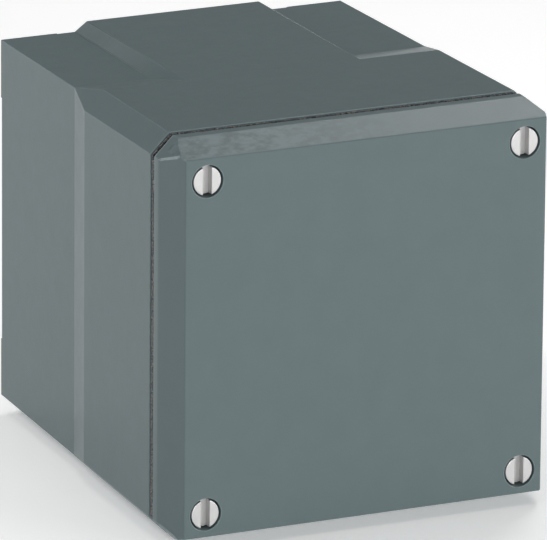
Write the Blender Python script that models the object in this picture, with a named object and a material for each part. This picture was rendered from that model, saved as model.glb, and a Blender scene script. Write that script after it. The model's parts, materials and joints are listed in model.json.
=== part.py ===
"""Magnetic motor starter: a contactor and an overload relay in a closed moulded enclosure.

Sizes are in millimetres, in the box's own frame: x from the middle to the right, y back from
the front face, z up from the middle. place() turns them into metres with the origin on the
surface that the box stands on, under its middle, and the front facing -Y.
"""
import math

import bmesh
import bpy
from mathutils import Vector

# Enclosure
MM = 0.001
DEPTH = 173.0
HALF = 75.0            # half of the outer width and height, at the seam
WALL = 3.0
GAP = 0.3              # clearance kept between touching pieces
OVER = 1.0             # a cutter runs this far past the face that it cuts
RECESS = 3.6           # depth of the rear recess on every side
CHAMFER = 2 * RECESS   # 45 degree chamfer on the four long edges, which runs out in the recess
DRAFT = 0.017          # walls close in towards the back, per millimetre
SEAM = 19.65           # plane between cover and base
SEAM_GAP = 3.1         # filled by the gasket's lip
FACE_HALF = 70.5       # half of the flat front face
BEVEL_DEPTH = 13.7     # the cover's bevel runs back this far
SLOPE_START = 82.6     # the rear recess slopes in from here
SLOPE_END = 100.8
BAND_TOP = 34.8        # half width of the raised band on top and bottom
BAND_FOOT = 39.7
FOOT_HIGH = 1.2        # rear corner pads
FOOT_INNER = 46.7
BACK_WALL = 3.5
BACK_INSIDE = DEPTH - FOOT_HIGH - BACK_WALL
BASE_FRONT = SEAM + SEAM_GAP / 2
COVER_BACK = SEAM - SEAM_GAP / 2
REBATE = 1.5           # seat of the gasket in the base's rim
REBATE_DEEP = 2.0
GASKET_INNER = 4.0
GASKET_LIP = 0.4       # the lip stops this far inside the outside
FLAT = 5               # degrees: facets of the enclosure stay flat
KNOCKOUT_X, KNOCKOUT_Y, KNOCKOUT_R = 17.0, 128.0, 10.25
FIXING = 50.5          # wall fixing holes, from the middle
FIXING_R = 2.6
FIXING_SINK_R, FIXING_SINK_DEEP = 5.0, 1.5
SCORE_WIDE, SCORE_DEEP = 1.2, 1.7
PILOT_R = 2.4          # holes for the self-cutting screws in the back wall's bosses
PILOT_END = DEPTH - 6
RAIL_BOSS_R = 7.0

# Cover screws
SCREW = 62.0           # from the middle, each way
HEAD_R = 5.35
HEAD_TOP, HEAD_BACK = 0.4, 4.9
SLOT_WIDE, SLOT_DEEP = 3.4, 3.1
SHANK_R, SHANK_END = 2.5, 44.0
SINK_R, SINK_DEEP = 5.9, 5.2
BOSS_R, NECK_R = 8.0, 5.5
BOSS_BACK = 8.5
POST_R, POST_FRONT = 6.0, 26.0
SCREW_CLEAR = 0.35     # around a cover screw's shank
SOFT = 0.4             # worn-off edges of its head
WEB_HALF = 1.4

# Slotted pan head screws: head radius, shank radius; all heads are equally high
PAN_HEIGHT = 3.0
PAN_SOFT = 0.5
PAN_SLOT_HALF, PAN_SLOT_DEEP = 0.5, 1.0
CLAMP_SCREW = (3.75, 1.5)
CLAMP_END = 90.4
RAIL_SCREW = (4.4, 2.0)
EARTH_SCREW = (4.0, 2.0)
COIL_SCREW = (2.7, 1.25)
COIL_SCREW_LONG = 8.0
BACK_SCREW_END = DEPTH - 7

# Mounting rail, 35 mm top hat
RAIL_Z = 26.0
RAIL_FRONT = 146.5
RAIL_HIGH, RAIL_DEEP, RAIL_THICK = 17.5, 7.5, 1.0
RAIL_CROWN = 12.5
RAIL_HALF = 52.0
RAIL_SCREW_X = 40.0
RAIL_BACK = RAIL_FRONT + RAIL_DEEP

# Earth terminal
EARTH_X, EARTH_Z = -45.0, -26.0
EARTH_FRONT, EARTH_BACK = 155.0, 161.0
EARTH_HALF_X, EARTH_HALF_Z = 5.0, 13.0
EARTH_WIRE_R, EARTH_WIRE_Z = 1.8, 8.0

# Contactor
HALF_45 = 22.5         # half width of contactor and relay
CON_LOW, CON_HIGH = -11.0, 63.0
TIER_HIGH = 69.2       # coil terminal tier
BASE_FACE = 112.0
HOUSING_FACE = 70.0
ARC_FACE = 54.5
POLES = (-14.0, 0.0, 14.0)
STROKE = 3.6
CONTACT_GAP = STROKE + GAP
STRIP_FRONT, STRIP_THICK = 84.5, 1.5
TIP_HIGH = 1.0
TIP_Z = 11.0           # contact tips from the middle of the pole
BRIDGE_BACK = STRIP_FRONT - 2 * TIP_HIGH - CONTACT_GAP
BRIDGE_THICK = 1.5
BRIDGE_FRONT = BRIDGE_BACK - BRIDGE_THICK
TERMINAL_Z = 29.0      # terminal screws from the middle of the contactor
POLE_FACE = 117.7      # fixed core's pole faces
YOKE = 8.0
CORE_BACK = 141.7
STACK = 8.0            # half of the lamination stack
LEG_IN, LEG_OUT, CENTRE_LEG = 17.0, 24.0, 6.5
ARMATURE_FRONT = 98.0
ARMATURE_YOKE = 7.0
BOBBIN_FRONT = 109.2
COIL_X, COIL_Z = 16.0, 66.4
COIL_TAB = 120.7
SPRING_Z = 31.9        # return springs from the middle of the contactor
SPRING_BACK = 125.7
CARRIER_BACK = ARMATURE_FRONT - GAP
STRIP_SEAT = STRIP_FRONT + STRIP_THICK + GAP
TIP_R = 2.2
CONTACT_SPRING_FRONT = BRIDGE_FRONT - 3.8
CHAMBER_HALF = 18.0    # half width of the magnet chamber
SPRING_WELL_R = 3.5
COIL_TAB_THICK = 1.0
COIL_HOLE_R = 1.6
CLAMP_PASS_R, CLAMP_HOLE_R = 1.8, 1.9   # round a clamp screw's shank: in metal, in plastic

# Overload relay
RELAY_LOW, RELAY_HIGH = -62.0, -12.3
RELAY_FACE, RELAY_BACK = 72.0, 128.0
RELAY_CAVITY = (-44.0, -16.0)
CAVITY_BACK = 104.0
PANEL_FACE, PANEL_LOW = 64.0, -47.0
PIN_FRONT = 82.7       # the strips' connecting pins
RELAY_TERMINAL_Z = -55.0
DIAL_X, DIAL_Z, DIAL_R = -10.0, -28.0, 5.5
BUTTON_X, RESET_Z, STOP_Z = 12.0, -22.0, -36.0
DIAL_BACK, DIAL_STEM_R = 68.2, 2.5
RESET_HALF, STOP_HALF = 4.0, 3.0
BUTTON_PROUD = 3.2
BLADE_FRONT, BLADE_BACK = 87.0, 92.0
BAR_Z = -22.0
BAR_FRONT, BAR_BACK = 94.0, 97.0
LEVER_FRONT, LEVER_BACK = 98.0, 101.0
PIVOT_Z, PIVOT_R = -34.0, 1.5

WIRE_R = 1.1
RETURN_SPRING_R, RETURN_WIRE_R = 2.5, 0.45

# Finishes: linear colour, roughness, metallic
FINISHES = {
    "enclosure_plastic": ((0.15, 0.19, 0.20), 0.5, 0.0),
    "gasket_rubber": ((0.02, 0.02, 0.022), 0.9, 0.0),
    "plated_steel": ((0.62, 0.61, 0.58), 0.35, 1.0),
    "rail_steel": ((0.55, 0.55, 0.53), 0.4, 1.0),
    "brass": ((0.6, 0.42, 0.16), 0.35, 1.0),
    "copper": ((0.65, 0.3, 0.17), 0.35, 1.0),
    "housing_plastic": ((0.045, 0.045, 0.05), 0.55, 0.0),
    "cover_plastic": ((0.32, 0.33, 0.33), 0.5, 0.0),
    "carrier_plastic": ((0.42, 0.1, 0.06), 0.5, 0.0),
    "bobbin_plastic": ((0.5, 0.48, 0.4), 0.5, 0.0),
    "lamination_steel": ((0.3, 0.3, 0.31), 0.45, 1.0),
    "spring_steel": ((0.45, 0.45, 0.46), 0.3, 1.0),
    "dial_plastic": ((0.7, 0.68, 0.6), 0.45, 0.0),
    "reset_plastic": ((0.02, 0.08, 0.3), 0.4, 0.0),
    "stop_plastic": ((0.45, 0.02, 0.02), 0.4, 0.0),
    "wire_insulation": ((0.03, 0.03, 0.035), 0.5, 0.0),
}


def place(x, y, z):
    return Vector((x, y - DEPTH / 2, z + HALF)) * MM


def solid_from(bm):
    bmesh.ops.remove_doubles(bm, verts=bm.verts, dist=0.000001)
    bmesh.ops.recalc_face_normals(bm, faces=bm.faces)
    mesh = bpy.data.meshes.new("solid")
    bm.to_mesh(mesh)
    bm.free()
    solid = bpy.data.objects.new("solid", mesh)
    bpy.context.scene.collection.objects.link(solid)
    return solid


def loft(rings):
    """A closed solid through rings of points, capped at both ends."""
    bm = bmesh.new()
    loops = [[bm.verts.new(place(*point)) for point in ring] for ring in rings]
    count = len(loops[0])
    for near, far in zip(loops, loops[1:]):
        for i in range(count):
            j = (i + 1) % count
            bm.faces.new((near[i], near[j], far[j], far[i]))
    bm.faces.new(loops[0])
    bm.faces.new(list(reversed(loops[-1])))
    return solid_from(bm)


def prism(outline, axis, low, high):
    """An outline pushed along x, y or z; its two numbers are the other two axes in order."""
    turn = {
        "x": lambda u, v, w: (w, u, v),
        "y": lambda u, v, w: (u, w, v),
        "z": lambda u, v, w: (u, v, w),
    }[axis]
    return loft([[turn(u, v, w) for u, v in outline] for w in (low, high)])


def box(x, y, z):
    return prism([(x[0], z[0]), (x[1], z[0]), (x[1], z[1]), (x[0], z[1])], "y", *y)


def block(x, half_x, y, z, half_z):
    """A box given by its middle and half sizes across, and its span from front to back."""
    return box((x - half_x, x + half_x), y, (z - half_z, z + half_z))


def circle(u, v, radius, sides):
    turns = [math.tau * (i + 0.5) / sides for i in range(sides)]
    return [(u + radius * math.cos(t), v + radius * math.sin(t)) for t in turns]


def rod(u, v, radius, low, high, sides=16, axis="y"):
    return prism(circle(u, v, radius, sides), axis, low, high)


def turned(x, z, profile, sides=16):
    """A round piece on an axis along y; the profile is (y, radius) from front to back."""
    rings = []
    for y, radius in profile:
        rings.append([(u, y, v) for u, v in circle(x, z, radius, sides)])
    return loft(rings)


def combine(body, tools, operation):
    for tool in tools:
        modifier = body.modifiers.new("combine", "BOOLEAN")
        modifier.operation = operation
        modifier.solver = "EXACT"
        modifier.object = tool
        depsgraph = bpy.context.evaluated_depsgraph_get()
        mesh = bpy.data.meshes.new_from_object(body.evaluated_get(depsgraph))
        body.modifiers.clear()
        body.data = mesh
        bpy.data.objects.remove(tool)
    return body


def join(body, *tools):
    return combine(body, tools, "UNION")


def cut(body, *tools):
    return combine(body, tools, "DIFFERENCE")


def corners(distance):
    return [(x * distance, z * distance) for x in (-1, 1) for z in (-1, 1)]


def material(name):
    if name in bpy.data.materials:
        return bpy.data.materials[name]
    colour, roughness, metallic = FINISHES[name]
    made = bpy.data.materials.new(name)
    made.use_nodes = True
    surface = made.node_tree.nodes["Principled BSDF"]
    surface.inputs["Base Color"].default_value = (*colour, 1.0)
    surface.inputs["Roughness"].default_value = roughness
    surface.inputs["Metallic"].default_value = metallic
    return made


def group(name, origin, parent=None):
    """An empty on a moving body's axis, which its pieces hang from."""
    empty = bpy.data.objects.new(name, None)
    bpy.context.scene.collection.objects.link(empty)
    empty.location = place(*origin)
    if parent:
        empty.parent = parent
        empty.location -= parent.matrix_world.translation
    bpy.context.view_layer.update()
    return empty


def finish(name, solid, finish_name, parent=None, origin=None, smooth_below=32):
    """Name a solid, move its origin to a point (its own middle if none is given), shade it."""
    mesh = solid.data
    if origin:
        centre = place(*origin)
    else:
        points = [v.co for v in mesh.vertices]
        low = Vector([min(p[i] for p in points) for i in range(3)])
        high = Vector([max(p[i] for p in points) for i in range(3)])
        centre = (low + high) / 2
    for vertex in mesh.vertices:
        vertex.co -= centre
    solid.location = centre
    if parent:
        solid.parent = parent
        solid.location -= parent.matrix_world.translation
    solid.name = name
    mesh.name = name
    mesh.materials.clear()
    mesh.materials.append(material(finish_name))
    mesh.shade_smooth()
    mesh.set_sharp_from_angle(angle=math.radians(smooth_below))
    return solid


def spring(x, z, radius, wire, low, high, turns):
    """A helical compression spring along y."""
    steps_per_turn, sides = 8, 5
    steps = turns * steps_per_turn
    rings = []
    for step in range(steps + 1):
        angle = math.tau * step / steps_per_turn
        y = low + wire + (high - low - 2 * wire) * step / steps
        ring = []
        for side in range(sides):
            around = math.tau * side / sides
            reach = radius + wire * math.cos(around)
            ring.append((x + reach * math.cos(angle), y + wire * math.sin(around),
                         z + reach * math.sin(angle)))
        rings.append(ring)
    return loft(rings)


# ---------------------------------------------------------------- enclosure

def base_ring(y, inset=0.0):
    """Outline of the base across y: drafted, chamfered, with its four rear recesses."""
    drop = RECESS * min(max((y - SLOPE_START) / (SLOPE_END - SLOPE_START), 0.0), 1.0)
    half = HALF - DRAFT * (y - SEAM) - inset
    leg = max(0.0, CHAMFER - 2 * drop - (2 - math.sqrt(2)) * inset)
    band = BAND_TOP - inset / 3
    band_foot = band + (BAND_FOOT - BAND_TOP) * drop / RECESS
    low = half - drop
    quarter = [(band, half), (band_foot, low), (low - leg, low), (low, low - leg)]
    right = quarter + [(x, -z) for x, z in reversed(quarter)]
    whole = right + [(-x, z) for x, z in reversed(right)]
    return [(x, y, z) for x, z in whole]


def base_solid(stations, inset=0.0):
    return loft([base_ring(y, inset) for y in stations])


def corner_web(x, z):
    """A web from a screw post out to the corner of the box."""
    sx, sz = math.copysign(1, x), math.copysign(1, z)
    start, end = abs(x), HALF + WALL
    ends = ((start, -WEB_HALF), (start, WEB_HALF), (end, WEB_HALF), (end, -WEB_HALF))
    return prism([(sx * (d + w), sz * (d - w)) for d, w in ends], "y", POST_FRONT, DEPTH)


def knockout_groove(x, side):
    """A ring scored into the inside of the top or bottom wall, so a disc can be knocked out."""
    inner = HALF - DRAFT * (KNOCKOUT_Y - SEAM) - WALL
    low, high = sorted((side * (inner - OVER), side * (inner + SCORE_DEEP)))
    ring = rod(x, KNOCKOUT_Y, KNOCKOUT_R, low, high, axis="z")
    disc_r = KNOCKOUT_R - SCORE_WIDE
    return cut(ring, rod(x, KNOCKOUT_Y, disc_r, low - OVER, high + OVER, axis="z"))


def enclosure_base():
    body = base_solid((BASE_FRONT, SLOPE_START, SLOPE_END, DEPTH))
    cavity = base_solid((BASE_FRONT - OVER, SLOPE_START, SLOPE_END, BACK_INSIDE), WALL)
    for x, z in corners(SCREW):
        cut(cavity, rod(x, z, POST_R, POST_FRONT, DEPTH), corner_web(x, z))
    cut(body, cavity)
    cut(body, base_solid((BASE_FRONT - OVER, BASE_FRONT + REBATE_DEEP), REBATE))
    relief = (DEPTH - FOOT_HIGH, DEPTH + OVER)
    cut(body, box((-FOOT_INNER, FOOT_INNER), relief, (-HALF, HALF)))
    cut(body, box((-HALF, HALF), relief, (-FOOT_INNER, FOOT_INNER)))
    for x in (-RAIL_SCREW_X, RAIL_SCREW_X):
        join(body, rod(x, RAIL_Z, RAIL_BOSS_R, RAIL_BACK + GAP, BACK_INSIDE + OVER))
        cut(body, rod(x, RAIL_Z, PILOT_R, RAIL_BACK, PILOT_END))
    seat = (EARTH_BACK + GAP, BACK_INSIDE + OVER)
    join(body, block(EARTH_X, EARTH_HALF_X + 2, seat, EARTH_Z, EARTH_HALF_Z + 2))
    cut(body, rod(EARTH_X, EARTH_Z, PILOT_R, EARTH_BACK, PILOT_END))
    for x, z in corners(FIXING):
        cut(body, rod(x, z, FIXING_R, BACK_INSIDE - WALL, DEPTH + OVER))
        cut(body, rod(x, z, FIXING_SINK_R, BACK_INSIDE - WALL, BACK_INSIDE + FIXING_SINK_DEEP))
    for x, z in corners(SCREW):
        cut(body, rod(x, z, SHANK_R + SCREW_CLEAR, POST_FRONT - OVER, SHANK_END + WALL))
    for x in (-KNOCKOUT_X, KNOCKOUT_X):
        cut(body, knockout_groove(x, 1), knockout_groove(x, -1))
    finish("enclosure_base", body, "enclosure_plastic", smooth_below=FLAT)


def cover_gasket():
    """The seal: a foot in the base's rebate and a lip that almost fills the seam."""
    front = COVER_BACK + GAP
    lip_back = BASE_FRONT - GAP
    foot_back = BASE_FRONT + REBATE_DEEP - GAP
    ring = base_solid((front, lip_back), GASKET_LIP)
    join(ring, base_solid((lip_back - REBATE, foot_back), REBATE + GAP))
    cut(ring, base_solid((front - OVER, foot_back + OVER), GASKET_INNER))
    finish("cover_gasket", ring, "gasket_rubber")


def cover_solid(front, back, inset=0.0):
    """The cover's bevelled, chamfered block; its corner chamfer starts part way up the bevel."""
    across = 2 * HALF - CHAMFER - math.sqrt(2) * inset
    grow = (HALF - FACE_HALF) / BEVEL_DEPTH
    apex = (across / 2 + inset - FACE_HALF) / grow
    rings = []
    for y in (front, apex, BEVEL_DEPTH, back):
        half = FACE_HALF + grow * min(y, BEVEL_DEPTH) - inset
        leg = max(0.0, 2 * half - across)
        quarter = [(half - leg, half), (half, half - leg)]
        right = quarter + [(x, -z) for x, z in reversed(quarter)]
        rings.append([(x, y, z) for x, z in right + [(-x, z) for x, z in reversed(right)]])
    return loft(rings)


def cover(parent):
    body = cover_solid(0.0, COVER_BACK)
    cut(body, cover_solid(WALL, COVER_BACK + OVER, WALL))
    for x, z in corners(SCREW):
        boss = [(WALL / 2, BOSS_R), (BOSS_BACK, BOSS_R), (BOSS_BACK + 2, NECK_R),
                (POST_FRONT - GAP, NECK_R)]
        join(body, turned(x, z, boss))
        cut(body, turned(x, z, [(-OVER, SINK_R), (SINK_DEEP, SINK_R)], 24))
        cut(body, rod(x, z, SHANK_R + SCREW_CLEAR, 0, POST_FRONT + OVER))
    finish("cover", body, "enclosure_plastic", parent, (0, 0, 0), FLAT)


def cover_screw(number, x, z, parent):
    profile = [(HEAD_TOP, HEAD_R - SOFT), (HEAD_TOP + SOFT, HEAD_R), (HEAD_BACK, HEAD_R),
               (HEAD_BACK, SHANK_R), (SHANK_END - 2, SHANK_R), (SHANK_END, SHANK_R / 2)]
    screw = turned(x, z, profile, 24)
    slot = (HEAD_TOP - OVER, HEAD_TOP + SLOT_DEEP)
    cut(screw, block(x, SLOT_WIDE / 2, slot, z, HEAD_R + OVER))
    finish(f"cover_screw_{number}", screw, "plated_steel", parent, (x, HEAD_TOP, z))


def pan_screw(name, x, z, kind, seat, end):
    """A slotted screw along y, whose head rests on the plane at seat."""
    head_r, shank_r = kind
    front = seat - PAN_HEIGHT
    profile = [(front, head_r - PAN_SOFT), (front + PAN_SOFT, head_r), (seat, head_r),
               (seat, shank_r), (end - 1, shank_r), (end, shank_r / 2)]
    screw = turned(x, z, profile, 12)
    slot = (front - OVER, front + PAN_SLOT_DEEP)
    cut(screw, block(x, head_r + OVER, slot, z, PAN_SLOT_HALF))
    finish(name, screw, "plated_steel")


def mounting_rail():
    lip, crown, thick = RAIL_HIGH, RAIL_CROWN, RAIL_THICK
    front, back = RAIL_FRONT, RAIL_BACK
    half = [(front, lip), (front + thick, lip), (front + thick, crown + thick),
            (back, crown + thick)]
    inner = [(front, crown), (back - thick, crown)]
    outline = half + [(y, -z) for y, z in reversed(half)]
    outline += [(y, -z) for y, z in inner] + [(y, z) for y, z in reversed(inner)]
    outline = [(y, z + RAIL_Z) for y, z in outline]
    rail = prism(outline, "x", -RAIL_HALF, RAIL_HALF)
    slot_half = 3.0
    through = (back - slot_half, back + OVER)
    for x in (-RAIL_SCREW_X, RAIL_SCREW_X):
        slot = block(x, slot_half, through, RAIL_Z, slot_half)
        for end in (x - slot_half, x + slot_half):
            join(slot, rod(end, RAIL_Z, slot_half, *through))
        cut(rail, slot)
    finish("din_rail", rail, "rail_steel")
    for number, x in enumerate((-RAIL_SCREW_X, RAIL_SCREW_X), 1):
        seat = back - thick - GAP
        pan_screw(f"rail_screw_{number}", x, RAIL_Z, RAIL_SCREW, seat, BACK_SCREW_END)


def earth_terminal():
    through = (EARTH_FRONT - OVER, EARTH_BACK + OVER)
    bar = block(EARTH_X, EARTH_HALF_X, (EARTH_FRONT, EARTH_BACK), EARTH_Z, EARTH_HALF_Z)
    cut(bar, rod(EARTH_X, EARTH_Z, PILOT_R, *through))
    for z in (EARTH_Z - EARTH_WIRE_Z, EARTH_Z + EARTH_WIRE_Z):
        cut(bar, rod(EARTH_X, z, EARTH_WIRE_R, *through))
    finish("earth_bar", bar, "brass")
    pan_screw("earth_screw", EARTH_X, EARTH_Z, EARTH_SCREW, EARTH_FRONT - GAP, BACK_SCREW_END)


# ---------------------------------------------------------------- contactor

def rail_hook(side):
    """A hook of the contactor's foot, which reaches behind one lip of the rail."""
    half, thick, grip = 12.0, 4.0, 2.0
    lip = RAIL_HIGH + GAP
    root = (RAIL_FRONT - 2, RAIL_FRONT + RAIL_THICK + 3)
    nose = (RAIL_FRONT + RAIL_THICK + GAP, root[1])
    arm = sorted((RAIL_Z + side * lip, RAIL_Z + side * (lip + thick)))
    tip = sorted((RAIL_Z + side * (lip - grip), RAIL_Z + side * (lip + grip)))
    return join(box((-half, half), root, arm), box((-half, half), nose, tip))


def contactor_base():
    """The magnet chamber and foot, with a tier for the coil's terminals at each side."""
    back = RAIL_FRONT - GAP
    tab_seat = COIL_TAB + COIL_TAB_THICK + GAP
    body = box((-HALF_45, HALF_45), (BASE_FACE, back), (CON_LOW, CON_HIGH))
    join(body, box((-HALF_45, HALF_45), (COIL_TAB - 6, back), (CON_HIGH - 1, TIER_HIGH)))
    join(body, rail_hook(1), rail_hook(-1))
    chamber = (BASE_FACE - OVER, CORE_BACK + GAP)
    cut(body, block(0, CHAMBER_HALF, chamber, RAIL_Z, LEG_OUT + 2.6))
    for side in (-1, 1):
        well = RAIL_Z + side * SPRING_Z
        cut(body, rod(0, well, SPRING_WELL_R, BASE_FACE - OVER, SPRING_BACK + GAP))
        recess = sorted((side * (COIL_X - 4), side * (HALF_45 + OVER)))
        cut(body, box(recess, (COIL_TAB - 8, tab_seat), (CON_HIGH + 0.5, TIER_HIGH + OVER)))
        cut(body, rod(side * COIL_X, COIL_Z, COIL_HOLE_R, tab_seat - OVER, tab_seat + 9, 12))
    finish("contactor_base", body, "housing_plastic")


def contactor_housing():
    """The contact block: three channels from end to end, with the armature's room behind."""
    back = BASE_FACE - GAP
    room_front = 91.5
    body = box((-HALF_45, HALF_45), (HOUSING_FACE, back), (CON_LOW, CON_HIGH))
    reach = (CON_HIGH - CON_LOW) / 2
    for x in POLES:
        cut(body, block(x, 5, (HOUSING_FACE - OVER, STRIP_SEAT), RAIL_Z, 34))
        cut(body, block(x, 4, (HOUSING_FACE + 5, STRIP_FRONT - GAP), RAIL_Z, reach + OVER))
        cut(body, block(x, 5, (STRIP_SEAT - OVER, CARRIER_BACK), RAIL_Z, 8.5))
        for side in (-1, 1):
            z = RAIL_Z + side * TERMINAL_Z
            cut(body, rod(x, z, CLAMP_HOLE_R, STRIP_SEAT - OVER, CLAMP_END + GAP, 12))
    cut(body, block(0, 19, (room_front, back + OVER), RAIL_Z, 8.5))
    cut(body, block(0, 19, (CARRIER_BACK - OVER, back + OVER), RAIL_Z, LEG_OUT + 3))
    cut(body, block(0, 5, (room_front, back + OVER), RAIL_Z, reach - 1.7))
    finish("contactor_housing", body, "housing_plastic")


def arc_cover():
    """The cap over the arc chambers, with vents and a window for the position tab."""
    back = HOUSING_FACE - GAP
    wall, half_z = 2.0, 20.0
    face = (ARC_FACE - OVER, ARC_FACE + 4)
    body = block(0, HALF_45, (ARC_FACE, back), RAIL_Z, half_z)
    inside = (ARC_FACE + 2.5, back + OVER)
    cut(body, block(0, HALF_45 - wall, inside, RAIL_Z, half_z - wall))
    for x in POLES[:2]:
        join(body, block(x + POLES[2] / 2, 1, (ARC_FACE + 1, back), RAIL_Z, half_z - 1))
    cut(body, block(0, 3.2, face, RAIL_Z, 2.7))
    for z in (RAIL_Z - 12, RAIL_Z + 12):
        for x in POLES:
            cut(body, block(x, 3.5, face, z, 0.9))
    finish("arc_cover", body, "cover_plastic")


def contact_carrier(parent):
    """Moulded slide: three posts with windows, a cross plate, spring feet and a position tab."""
    plate_front = 92.0
    body = block(0, 18.6, (plate_front, CARRIER_BACK), RAIL_Z, 7.5)
    join(body, block(0, 4, (plate_front, CARRIER_BACK), RAIL_Z, SPRING_Z + 2.6))
    for x in POLES:
        join(body, block(x, 4.6, (HOUSING_FACE + 0.5, plate_front + 1), RAIL_Z, 3.5))
        window = (CONTACT_SPRING_FRONT - GAP, BRIDGE_BACK + GAP)
        cut(body, block(x, 3.3, window, RAIL_Z, 5))
    join(body, block(0, 2.7, (ARC_FACE + 1, HOUSING_FACE + 1), RAIL_Z, 2.2))
    for side in (-1, 1):
        arm = sorted((side * (STACK + 0.4), side * (STACK + 2.4)))
        join(body, box(arm, (CARRIER_BACK - 1, ARMATURE_FRONT + 5), (RAIL_Z - 4, RAIL_Z + 4)))
    finish("contact_carrier", body, "carrier_plastic", parent, (0, HOUSING_FACE, RAIL_Z))


def contact_bridge(number, x, parent):
    bridge = block(x, 3, (BRIDGE_FRONT, BRIDGE_BACK), RAIL_Z, TIP_Z + 2.5)
    for side in (-1, 1):
        tip = (BRIDGE_BACK - 0.5, BRIDGE_BACK + TIP_HIGH)
        join(bridge, rod(x, RAIL_Z + side * TIP_Z, TIP_R, *tip, 12))
    finish(f"contact_bridge_{number}", bridge, "copper", parent)


def contact_spring(number, x, parent):
    coil = spring(x, RAIL_Z, 1.9, 0.32, CONTACT_SPRING_FRONT, BRIDGE_FRONT - GAP, 3)
    finish(f"contact_spring_{number}", coil, "spring_steel", parent)


def fixed_contact(name, x, side):
    """A terminal strip with its contact tip inwards and a hole for its screw."""
    inner, outer = TIP_Z - 2.3, TERMINAL_Z + 4.2
    ends = sorted((RAIL_Z + side * inner, RAIL_Z + side * outer))
    strip = box((x - 3.5, x + 3.5), (STRIP_FRONT, STRIP_FRONT + STRIP_THICK), ends)
    tip = (STRIP_FRONT - TIP_HIGH, STRIP_FRONT + 0.5)
    join(strip, rod(x, RAIL_Z + side * TIP_Z, TIP_R, *tip, 12))
    through = (STRIP_FRONT - OVER, STRIP_FRONT + STRIP_THICK + OVER)
    cut(strip, rod(x, RAIL_Z + side * TERMINAL_Z, CLAMP_PASS_R, *through, 12))
    finish(name, strip, "brass")


def e_shape(yoke, legs, direction):
    """Outline of an E lamination in (y, z): its yoke's outer face, its leg ends, which way."""
    back = yoke + direction * (YOKE if direction < 0 else ARMATURE_YOKE)
    points = [(yoke, -LEG_OUT), (legs, -LEG_OUT), (legs, -LEG_IN), (back, -LEG_IN),
              (back, -CENTRE_LEG), (legs, -CENTRE_LEG), (legs, CENTRE_LEG), (back, CENTRE_LEG),
              (back, LEG_IN), (legs, LEG_IN), (legs, LEG_OUT), (yoke, LEG_OUT)]
    return [(y, z + RAIL_Z) for y, z in points]


def magnet(parent):
    """Fixed core with a shading ring let into each outer pole face, and the armature."""
    core = prism(e_shape(CORE_BACK, POLE_FACE, -1), "x", -STACK, STACK)
    groove_z, groove_half = 20.8, 0.9
    ring_z = groove_z + 2.05
    for side in (-1, 1):
        groove = (POLE_FACE - OVER, POLE_FACE + 2.2)
        cut(core, block(0, STACK + OVER, groove, RAIL_Z + side * groove_z, groove_half))
    finish("magnet_core", core, "lamination_steel")
    legs = POLE_FACE - CONTACT_GAP
    moving = prism(e_shape(ARMATURE_FRONT, legs, 1), "x", -STACK, STACK)
    finish("armature", moving, "lamination_steel", parent)
    for number, side in enumerate((-1, 1), 1):
        z = RAIL_Z + side * ring_z
        ring = block(0, STACK + 1.5, (POLE_FACE + 0.3, POLE_FACE + 1.9), z, 2.65)
        opening = (POLE_FACE - OVER, POLE_FACE + 3)
        cut(ring, block(0, STACK + GAP, opening, z, 1.45))
        finish(f"shading_ring_{number}", ring, "copper")


def coil():
    back = CORE_BACK - YOKE - GAP
    tube_x, tube_z = STACK + 0.6, CENTRE_LEG + 0.6
    flange = 1.5
    bobbin = block(0, tube_x + 1, (BOBBIN_FRONT, back), RAIL_Z, tube_z + 1)
    for span in ((BOBBIN_FRONT, BOBBIN_FRONT + flange), (back - flange, back)):
        join(bobbin, block(0, CHAMBER_HALF - 1, span, RAIL_Z, LEG_IN - 0.6))
    cut(bobbin, block(0, tube_x, (BOBBIN_FRONT - OVER, back + OVER), RAIL_Z, tube_z))
    finish("coil_bobbin", bobbin, "bobbin_plastic")
    start, end = BOBBIN_FRONT + flange + GAP, back - flange - GAP
    winding = block(0, CHAMBER_HALF - 2, (start, end), RAIL_Z, LEG_IN - 1)
    around = (start - OVER, end + OVER)
    cut(winding, block(0, tube_x + 1 + GAP, around, RAIL_Z, tube_z + 1 + GAP))
    finish("coil_winding", winding, "copper")
    for number, side in enumerate((-1, 1), 1):
        x = side * COIL_X
        span = (COIL_TAB, COIL_TAB + COIL_TAB_THICK)
        tab = box((x - 3.5, x + 3.5), span, (CON_HIGH + 0.8, TIER_HIGH - GAP))
        cut(tab, rod(x, COIL_Z, COIL_HOLE_R, COIL_TAB - OVER, span[1] + OVER, 12))
        finish(f"coil_terminal_{number}", tab, "brass")
        seat = COIL_TAB - GAP
        pan_screw(f"coil_screw_{number}", x, COIL_Z, COIL_SCREW, seat, seat + COIL_SCREW_LONG)


# ---------------------------------------------------------------- overload relay

def relay_housing():
    """The relay's body: the blades' cavity, three pin channels, three terminal wells."""
    body = box((-HALF_45, HALF_45), (RELAY_FACE, RELAY_BACK), (RELAY_LOW, RELAY_HIGH))
    cavity_low, cavity_high = RELAY_CAVITY
    well_top = cavity_low - 5
    open_front = (RELAY_FACE - OVER, STRIP_SEAT)
    cut(body, box((-19.5, 19.5), (RELAY_FACE - OVER, CAVITY_BACK), RELAY_CAVITY))
    for x in POLES:
        cut(body, box((x - 3, x + 3), open_front, (cavity_high - OVER, RELAY_HIGH + OVER)))
        cut(body, box((x - 3, x + 3), (PIN_FRONT - GAP, STRIP_SEAT), (well_top - OVER, cavity_low + OVER)))
        cut(body, box((x - 4.5, x + 4.5), open_front, (RELAY_LOW - OVER, well_top)))
        cut(body, rod(x, RELAY_TERMINAL_Z, CLAMP_HOLE_R, STRIP_SEAT - OVER, 91, 12))
    join(body, rod(0, PIVOT_Z, PIVOT_R, LEVER_FRONT - 0.5, CAVITY_BACK + OVER, 12))
    finish("relay_housing", body, "housing_plastic")


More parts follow.
